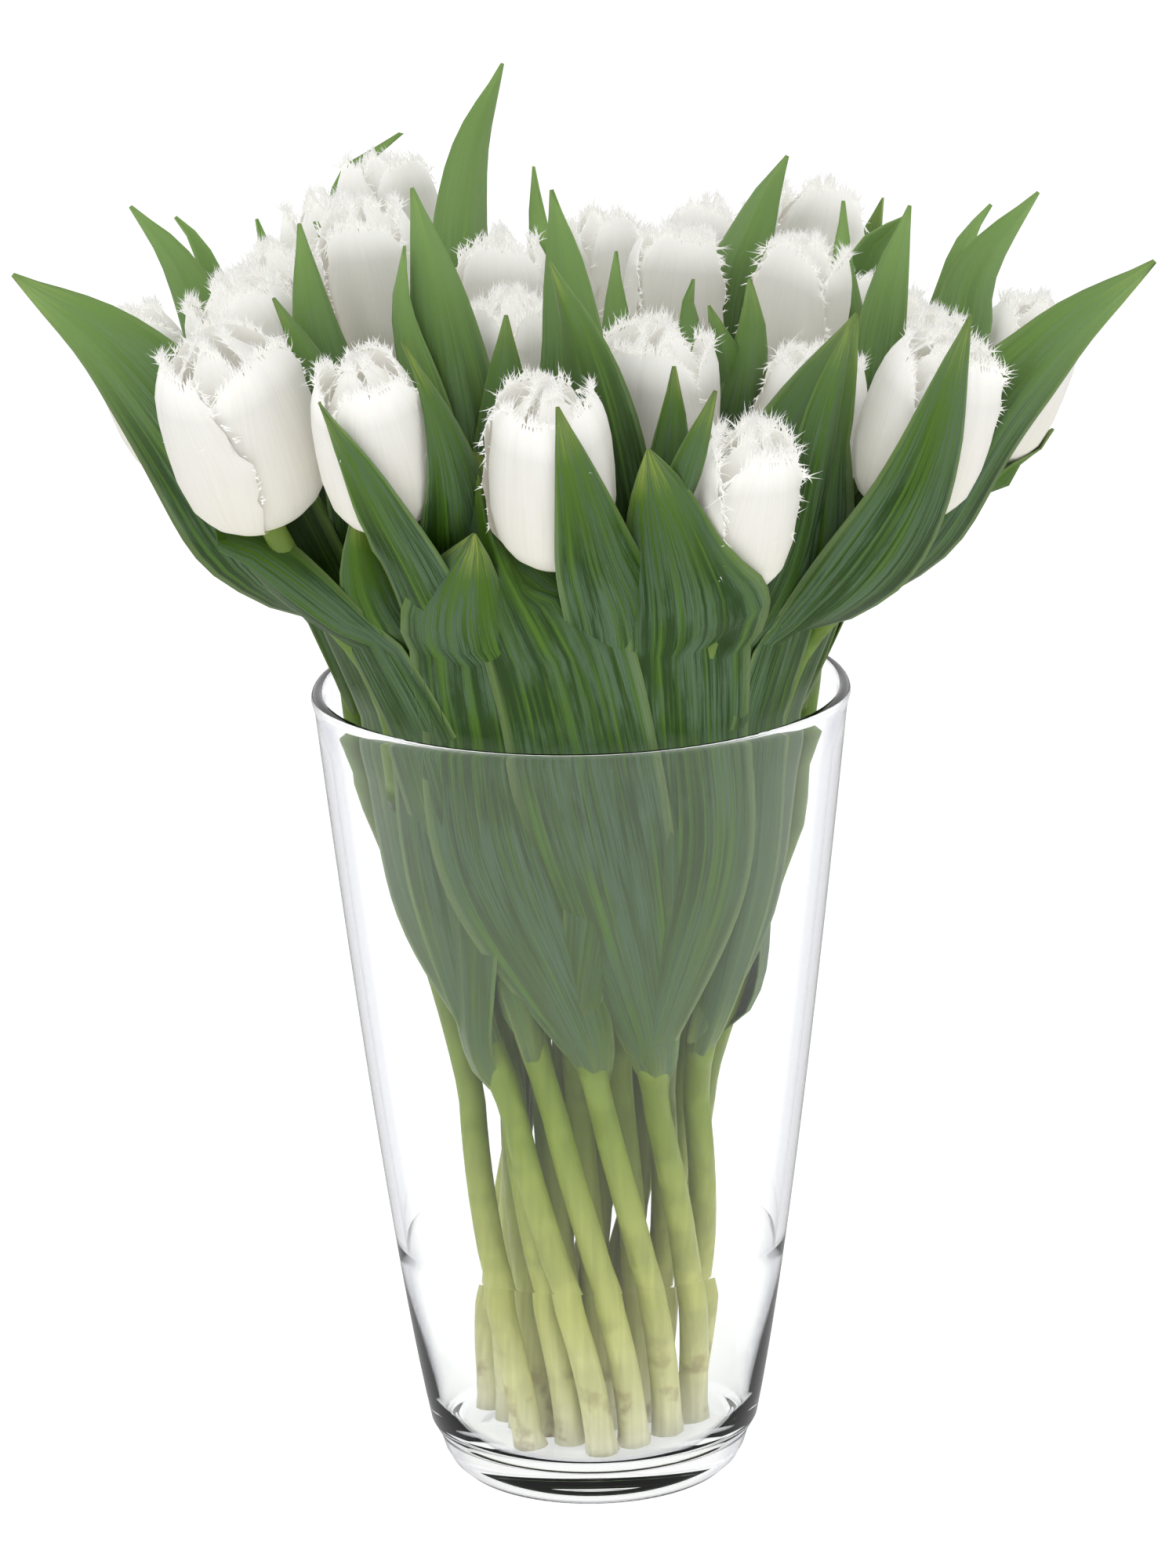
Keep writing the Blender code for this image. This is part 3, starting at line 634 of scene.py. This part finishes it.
# U of the map runs across the leaf from its number to that plus one, V from its node to its tip
fraction = nodes.new("ShaderNodeMath")
fraction.operation = "FRACT"
links.new(parts.outputs["X"], fraction.inputs[0])
green = ramp(
    parts.outputs["Y"],
    (0.0, (0.260, 0.330, 0.060, 1.0)),
    (0.12, (0.060, 0.110, 0.012, 1.0)),
    (0.45, (0.022, 0.056, 0.005, 1.0)),
    (0.80, (0.020, 0.060, 0.003, 1.0)),
    (0.93, (0.100, 0.210, 0.012, 1.0)),
    (1.0, (0.480, 0.560, 0.120, 1.0)),
)
bright = mix_colours(streaks(18.0, 1.8, 6.0, 0.47, 0.62), green, (0.090, 0.200, 0.010, 1.0))
wax_place = streaks(2.2, 4.0, 6.0, 0.42, 0.54)
wax_lines = streaks(34.0, 5.0, 9.0, 0.44, 0.54)
wax = nodes.new("ShaderNodeMath")
wax.operation = "MULTIPLY"
links.new(wax_place, wax.inputs[0])
links.new(wax_lines, wax.inputs[1])
wax_share = nodes.new("ShaderNodeMath")
wax_share.operation = "MULTIPLY"
wax_share.inputs[1].default_value = 0.95
links.new(wax.outputs["Value"], wax_share.inputs[0])
waxed = mix_colours(wax_share.outputs["Value"], bright, (0.100, 0.175, 0.092, 1.0))
veins = streaks(120.0, 1.2, 2.0, 0.35, 0.65)
veined = mix_colours(veins, mix_colours(0.45, waxed, (0.02, 0.07, 0.01, 1.0)), waxed)
margin = ramp(
    fraction.outputs["Value"],
    (0.0, (1.0, 1.0, 1.0, 1.0)),
    (0.045, (0.6, 0.6, 0.6, 1.0)),
    (0.075, (0.0, 0.0, 0.0, 1.0)),
    (0.925, (0.0, 0.0, 0.0, 1.0)),
    (0.955, (0.6, 0.6, 0.6, 1.0)),
    (1.0, (1.0, 1.0, 1.0, 1.0)),
)
margin_share = mix_colours(0.45, (0.0, 0.0, 0.0, 1.0), margin)
edged = mix_colours(margin_share, veined, (0.300, 0.430, 0.150, 1.0))
specks = streaks(60.0, 26.0, 1.0, 0.76, 0.80)
specked = mix_colours(specks, edged, (0.045, 0.035, 0.012, 1.0))
# Painted light: a lighter green is mixed in where leaves stand high up and towards the back, more
# on narrow leaves, standing in for light falling on the top of the bunch
painted_light_attribute = nodes.new("ShaderNodeAttribute")
painted_light_attribute.attribute_name = "bright"
shown = mix_colours(painted_light_attribute.outputs["Fac"], specked, (0.300, 0.500, 0.150, 1.0))
links.new(shown, leaf_shader.inputs["Base Color"])
leaf_gloss = nodes.new("ShaderNodeMapRange")
leaf_gloss.inputs["To Min"].default_value = 0.36
leaf_gloss.inputs["To Max"].default_value = 0.60
links.new(wax.outputs["Value"], leaf_gloss.inputs["Value"])
links.new(leaf_gloss.outputs["Result"], leaf_shader.inputs["Roughness"])
leaf_bump = nodes.new("ShaderNodeBump")
leaf_bump.inputs["Strength"].default_value = 0.35
leaf_bump.inputs["Distance"].default_value = 0.0004
links.new(veins, leaf_bump.inputs["Height"])
links.new(leaf_bump.outputs["Normal"], leaf_shader.inputs["Normal"])

# Stem finish: yellow and cream at the cut foot, green above
stem_paint = bpy.data.materials.new("tulip_stem")
stem_paint.use_nodes = True
nodes, links = stem_paint.node_tree.nodes, stem_paint.node_tree.links
stem_shader = nodes["Principled BSDF"]
stem_shader.inputs["Roughness"].default_value = 0.45
stem_shader.inputs["Subsurface Weight"].default_value = 0.10
stem_shader.inputs["Subsurface Radius"].default_value = (0.003, 0.003, 0.001)
stem_shader.inputs["Subsurface Scale"].default_value = 1.0
stem_place = nodes.new("ShaderNodeTexCoord")
parts = nodes.new("ShaderNodeSeparateXYZ")
links.new(stem_place.outputs["Object"], parts.inputs["Vector"])
height_share = nodes.new("ShaderNodeMapRange")
height_share.inputs["From Max"].default_value = 0.44
links.new(parts.outputs["Z"], height_share.inputs["Value"])
stem_green = ramp(
    height_share.outputs["Result"],
    (0.035, (0.92, 0.88, 0.66, 1.0)),
    (0.09, (0.84, 0.82, 0.40, 1.0)),
    (0.17, (0.62, 0.64, 0.18, 1.0)),
    (0.32, (0.270, 0.360, 0.030, 1.0)),
    (0.60, (0.130, 0.230, 0.015, 1.0)),
    (0.86, (0.200, 0.320, 0.050, 1.0)),
    (1.0, (0.430, 0.500, 0.100, 1.0)),
)
stem_drawn = nodes.new("ShaderNodeMapping")
stem_drawn.inputs["Scale"].default_value = (380.0, 380.0, 9.0)
links.new(stem_place.outputs["Object"], stem_drawn.inputs["Vector"])
stem_lines = nodes.new("ShaderNodeTexNoise")
stem_lines.inputs["Scale"].default_value = 1.0
stem_lines.inputs["Detail"].default_value = 3.0
links.new(stem_drawn.outputs["Vector"], stem_lines.inputs["Vector"])
stem_shown = mix_colours(
    mix_colours(0.5, (0.0, 0.0, 0.0, 1.0), stem_lines.outputs["Fac"]),
    stem_green,
    (0.060, 0.120, 0.025, 1.0),
)
stain = nodes.new("ShaderNodeTexNoise")
stain.inputs["Scale"].default_value = 85.0
stain.inputs["Detail"].default_value = 4.0
links.new(stem_place.outputs["Object"], stain.inputs["Vector"])
stain_low = nodes.new("ShaderNodeMapRange")
stain_low.inputs["From Min"].default_value = 0.56
stain_low.inputs["From Max"].default_value = 0.70
stain_low.inputs["To Max"].default_value = 0.8
links.new(stain.outputs["Fac"], stain_low.inputs["Value"])
near_foot = nodes.new("ShaderNodeMapRange")
near_foot.inputs["From Min"].default_value = 0.075
near_foot.inputs["From Max"].default_value = 0.015
links.new(parts.outputs["Z"], near_foot.inputs["Value"])
stained = nodes.new("ShaderNodeMath")
stained.operation = "MULTIPLY"
links.new(stain_low.outputs["Result"], stained.inputs[0])
links.new(near_foot.outputs["Result"], stained.inputs[1])
stem_final = mix_colours(stained.outputs["Value"], stem_shown, (0.200, 0.110, 0.035, 1.0))
links.new(stem_final, stem_shader.inputs["Base Color"])
stem_bump = nodes.new("ShaderNodeBump")
stem_bump.inputs["Strength"].default_value = 0.4
stem_bump.inputs["Distance"].default_value = 0.0004
links.new(stem_lines.outputs["Fac"], stem_bump.inputs["Height"])
links.new(stem_bump.outputs["Normal"], stem_shader.inputs["Normal"])


def make_leaf(number, tulip, node, half_width, facing, places, painted_light_share=0.45):
    """Adds one blade to the form of leaves."""
    draw = random.Random(number * 7 + 1)
    face = Vector((math.sin(facing), -math.cos(facing), 0.0))
    root = stem_point(tulip, node - 0.010)
    clasp = stem_point(tulip, node + 0.014) + face * 0.0112
    line = [root, clasp, *places]
    length = sum((b - a).length for a, b in zip(line, line[1:]))
    rows = max(16, round(length / 0.0085))
    columns = 10 if half_width > 0.0125 else 6
    midrib = curve_through(line, rows)
    ahead = np.gradient(midrib, axis=0)
    side = np.cross(ahead, np.array(face))
    side /= np.linalg.norm(side, axis=1)[:, None]
    normal = np.cross(side, ahead)
    normal /= np.linalg.norm(normal, axis=1)[:, None]
    share = np.linspace(0.0, 1.0, rows + 1)
    blunt = 2.9 if half_width > 0.024 and places[-1].z < 0.440 else 2.1
    reach = np.array([max(0.0005, half_width * 1.08 * leaf_width(v, blunt)) for v in share])
    arch = reach * (0.75 - 0.40 * np.sin(math.pi * np.minimum(1.0, share * 1.1)))
    across = np.linspace(-1.0, 1.0, columns + 1)
    fold = np.sqrt(across**2 + 0.012) - math.sqrt(0.012)
    swing = 0.0009 * draw.uniform(0.4, 1.4)
    wave = swing * np.sin(share * draw.uniform(7, 16) + draw.uniform(0, 6))
    points = (
        midrib[:, None, :]
        + side[:, None, :] * (across[None, :, None] * reach[:, None, None])
        - normal[:, None, :] * (fold[None, :, None] * arch[:, None, None])
        + normal[:, None, :] * (wave[:, None, None] * (across**3)[None, :, None])
    )
    bare = points.reshape(-1, 3)
    layer = LAYER_STEP * LAYERS.get(number, 3 + number % 2)
    moved = inside_vase(clear_of_blooms(bare, LEAF_CLEARANCE), layer)
    for _ in range(3):
        shift = (moved - bare).reshape(rows + 1, columns + 1, 3)
        for _ in range(3):
            blurred = shift.copy()
            blurred[1:-1] = 0.25 * shift[:-2] + 0.5 * shift[1:-1] + 0.25 * shift[2:]
            blurred[:, 1:-1] = 0.5 * blurred[:, 1:-1] + 0.25 * (
                blurred[:, :-2] + blurred[:, 2:]
            )
            shift = blurred
        eased = bare + shift.reshape(-1, 3)
        moved = inside_vase(clear_of_blooms(eased, LEAF_CLEARANCE), layer)
    points = moved.reshape(rows + 1, columns + 1, 3)
    begin = len(leaf_form.verts)
    bmesh.ops.create_grid(leaf_form, x_segments=columns, y_segments=rows, size=1.0)
    leaf_form.verts.ensure_lookup_table()
    where = {}
    for vertex in leaf_form.verts[begin:]:
        u, v = (vertex.co.x + 1) / 2, (vertex.co.y + 1) / 2
        where[vertex] = (u, v)
        vertex.co = points[round(v * rows), round(u * columns)]
        # Share of painted light, growing with height and towards the back of the bunch
        high = smoothstep((vertex.co.z - 0.395) / 0.10)
        back = smoothstep((vertex.co.y + 0.125) / 0.10)
        vertex[leaf_painted_light] = min(0.9, 1.3 * painted_light_share * high * (0.25 + 0.75 * back))
    for face_made in {face_made for vertex in where for face_made in vertex.link_faces}:
        for loop in face_made.loops:
            u, v = where[loop.vert]
            loop[leaf_uv].uv = (number + 0.002 + u * 0.996, v)


leaf_form = bmesh.new()
leaf_uv = leaf_form.loops.layers.uv.new("leaf")
leaf_painted_light = leaf_form.verts.layers.float.new("bright")
for number, (tulip, node, half_width, facing, *places) in enumerate(LEAVES):
    points = [Vector(place) * MM for place in places]
    narrow_light_share = 0.85 if half_width < 10 else 0.6
    make_leaf(number, tulip, node * MM, half_width * MM, math.radians(facing), points, narrow_light_share)
for number, (tulip, half_width, lean, tip) in enumerate(BACK_LEAVES):
    out = Vector(TULIPS[tulip][0]) * MM
    out.z = 0.0
    waist = out.normalized() * 0.080
    belly = out * (0.60 * lean)
    points = [
        Vector((waist.x, waist.y, 0.285)),
        Vector((belly.x + waist.x * 0.5, belly.y + waist.y * 0.5, 0.365)),
        Vector((out.x * lean, out.y * lean, tip * MM)),
    ]
    facing = math.atan2(out.x, -out.y)
    make_leaf(100 + number, tulip, 0.175, half_width * MM, facing, points)
bmesh.ops.recalc_face_normals(leaf_form, faces=leaf_form.faces)
leaves = finished("leaves", leaf_form, leaf_paint)
thickness = leaves.modifiers.new("thickness", "SOLIDIFY")
thickness.thickness = 0.0007
thickness.offset = 0.0
green_nodes = [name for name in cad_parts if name.startswith(("foliage", "leafy_stem"))]
attach(leaves, "green", *green_nodes)

stem_form = bmesh.new()
for tulip in TULIPS:
    top = bloom_base[tulip].z
    draw = random.Random(tulip + "stem")
    ring = bmesh.ops.create_circle(stem_form, cap_ends=True, segments=14, radius=1.0)["verts"]
    heights = np.linspace(STEM_FOOT, top + 0.003, 44)
    node_heights = sorted({node * MM for owner, node, *_ in LEAVES if owner == tulip})
    for i, z in enumerate(heights):
        at = stem_point(tulip, z)
        tilt = (stem_point(tulip, z + 0.002) - stem_point(tulip, z - 0.002)).normalized()
        x = tilt.orthogonal().normalized()
        y = tilt.cross(x)
        thick = 0.0056 - 0.0011 * min(1.0, z / VASE_HEIGHT)
        thick *= 1.0 + 0.16 * math.exp(-(((z - STEM_FOOT) / 0.006) ** 2))
        for node in node_heights:
            thick *= 1.0 + 0.16 * math.exp(-(((z - node) / 0.006) ** 2))
        if i:
            grown = bmesh.ops.extrude_face_region(stem_form, geom=[cap])
            cap = next(item for item in grown["geom"] if isinstance(item, bmesh.types.BMFace))
        else:
            cap = ring[0].link_faces[0]
        for n, corner in enumerate(cap.verts):
            turn = math.tau * n / 14
            wobble = 1.0 + (0.06 * draw.uniform(-1, 1) if i == 0 else 0.0)
            corner.co = at + (x * math.cos(turn) + y * math.sin(turn)) * thick * wobble
bmesh.ops.recalc_face_normals(stem_form, faces=stem_form.faces)
stems = finished("stems", stem_form, stem_paint)
attach(stems, "green")


def let_light_through(material):
    """Glass and water cast no shadow on what stands in them."""
    nodes, links = material.node_tree.nodes, material.node_tree.links
    ray = nodes.new("ShaderNodeLightPath")
    clear = nodes.new("ShaderNodeBsdfTransparent")
    mix = nodes.new("ShaderNodeMixShader")
    links.new(ray.outputs["Is Shadow Ray"], mix.inputs["Fac"])
    links.new(nodes["Principled BSDF"].outputs["BSDF"], mix.inputs[1])
    links.new(clear.outputs["BSDF"], mix.inputs[2])
    links.new(mix.outputs["Shader"], nodes["Material Output"].inputs["Surface"])


def spun(profile):
    """Turns a profile of radii and heights once round the middle of the vase."""
    form = bmesh.new()
    corners = [form.verts.new((radius, 0.0, z)) for radius, z in profile]
    sides = [form.edges.new(pair) for pair in zip(corners, corners[1:])]
    bmesh.ops.spin(
        form,
        geom=corners + sides,
        cent=(0.0, 0.0, 0.0),
        axis=(0.0, 0.0, 1.0),
        angle=math.tau,
        steps=96,
        use_merge=True,
    )
    bmesh.ops.remove_doubles(form, verts=form.verts, dist=0.00001)
    bmesh.ops.recalc_face_normals(form, faces=form.faces)
    return form


# Vase
# One blown piece of clear glass with a thick foot and a fire-polished rim. Its edges look grey
# and a little green where the light runs through more glass; the grey is painted onto the glass's
# colour by viewing angle, partly as that tint and partly as painted shade that draws dark edge
# lines.
glass_paint = bpy.data.materials.new("clear_glass")
glass_paint.use_nodes = True
glass_shader = glass_paint.node_tree.nodes["Principled BSDF"]
glass_shader.inputs["Roughness"].default_value = 0.0
glass_shader.inputs["Transmission Weight"].default_value = 1.0
glass_shader.inputs["IOR"].default_value = 1.45
glass_shader.inputs["Specular IOR Level"].default_value = 0.35
let_light_through(glass_paint)
nodes, links = glass_paint.node_tree.nodes, glass_paint.node_tree.links
# Painted shade: the glass is darker at grazing angles, partly the tint of thick glass and partly
# painted dark edge lines
painted_edge_shade = nodes.new("ShaderNodeLayerWeight")
painted_edge_shade.inputs["Blend"].default_value = 0.5
links.new(
    ramp(
        painted_edge_shade.outputs["Facing"],
        (0.62, (0.990, 0.995, 0.992, 1.0)),
        (0.74, (0.740, 0.740, 0.810, 1.0)),
        (0.86, (0.880, 0.890, 0.930, 1.0)),
        (0.99, (0.500, 0.530, 0.570, 1.0)),
    ),
    glass_shader.inputs["Base Color"],
)
profile = [(0.0, 0.0012), (0.034, 0.0008), (0.046, 0.0), (0.0515, 0.0008), (0.0550, 0.0040)]
profile += [(0.0575, 0.0085), (0.0592, 0.0140)]
profile += [(vase_outer(z), z) for z in np.linspace(0.020, 0.300, 26)]
for k in range(11):
    turn = math.pi * k / 10
    profile.append((0.0980 + 0.0024 * math.cos(turn), 0.3045 + 0.0034 * math.sin(turn)))
profile += [(vase_inner(z), z) for z in np.linspace(0.300, 0.022, 26)]
profile += [(0.0500, 0.0165), (0.0430, 0.0144), (0.0300, 0.0138), (0.0, 0.0135)]
vase_form = spun(profile)
vase = finished("vase", vase_form, glass_paint)
attach(vase, "glass", "glass_vase")

# Water
# It fills the vase to a third of its height and climbs the glass a little at its edge.
water_paint = bpy.data.materials.new("clear_water")
water_paint.use_nodes = True
water_shader = water_paint.node_tree.nodes["Principled BSDF"]
water_shader.inputs["Base Color"].default_value = (0.990, 0.997, 0.993, 1.0)
water_shader.inputs["Roughness"].default_value = 0.0
water_shader.inputs["Transmission Weight"].default_value = 1.0
water_shader.inputs["IOR"].default_value = 1.04
let_light_through(water_paint)
level = 0.092
profile = [(0.0, 0.0134), (0.0300, 0.0137), (0.0431, 0.0143), (0.0501, 0.0164)]
profile += [(vase_inner(z) + 0.0001, z) for z in np.linspace(0.022, level + 0.0004, 10)]
profile += [(vase_inner(level) - 0.0010, level + 0.0001), (vase_inner(level) - 0.003, level)]
profile += [(0.030, level), (0.0, level)]
water_form = spun(profile)
water = finished("water_in_vase", water_form, water_paint)
attach(water, "water", "water")
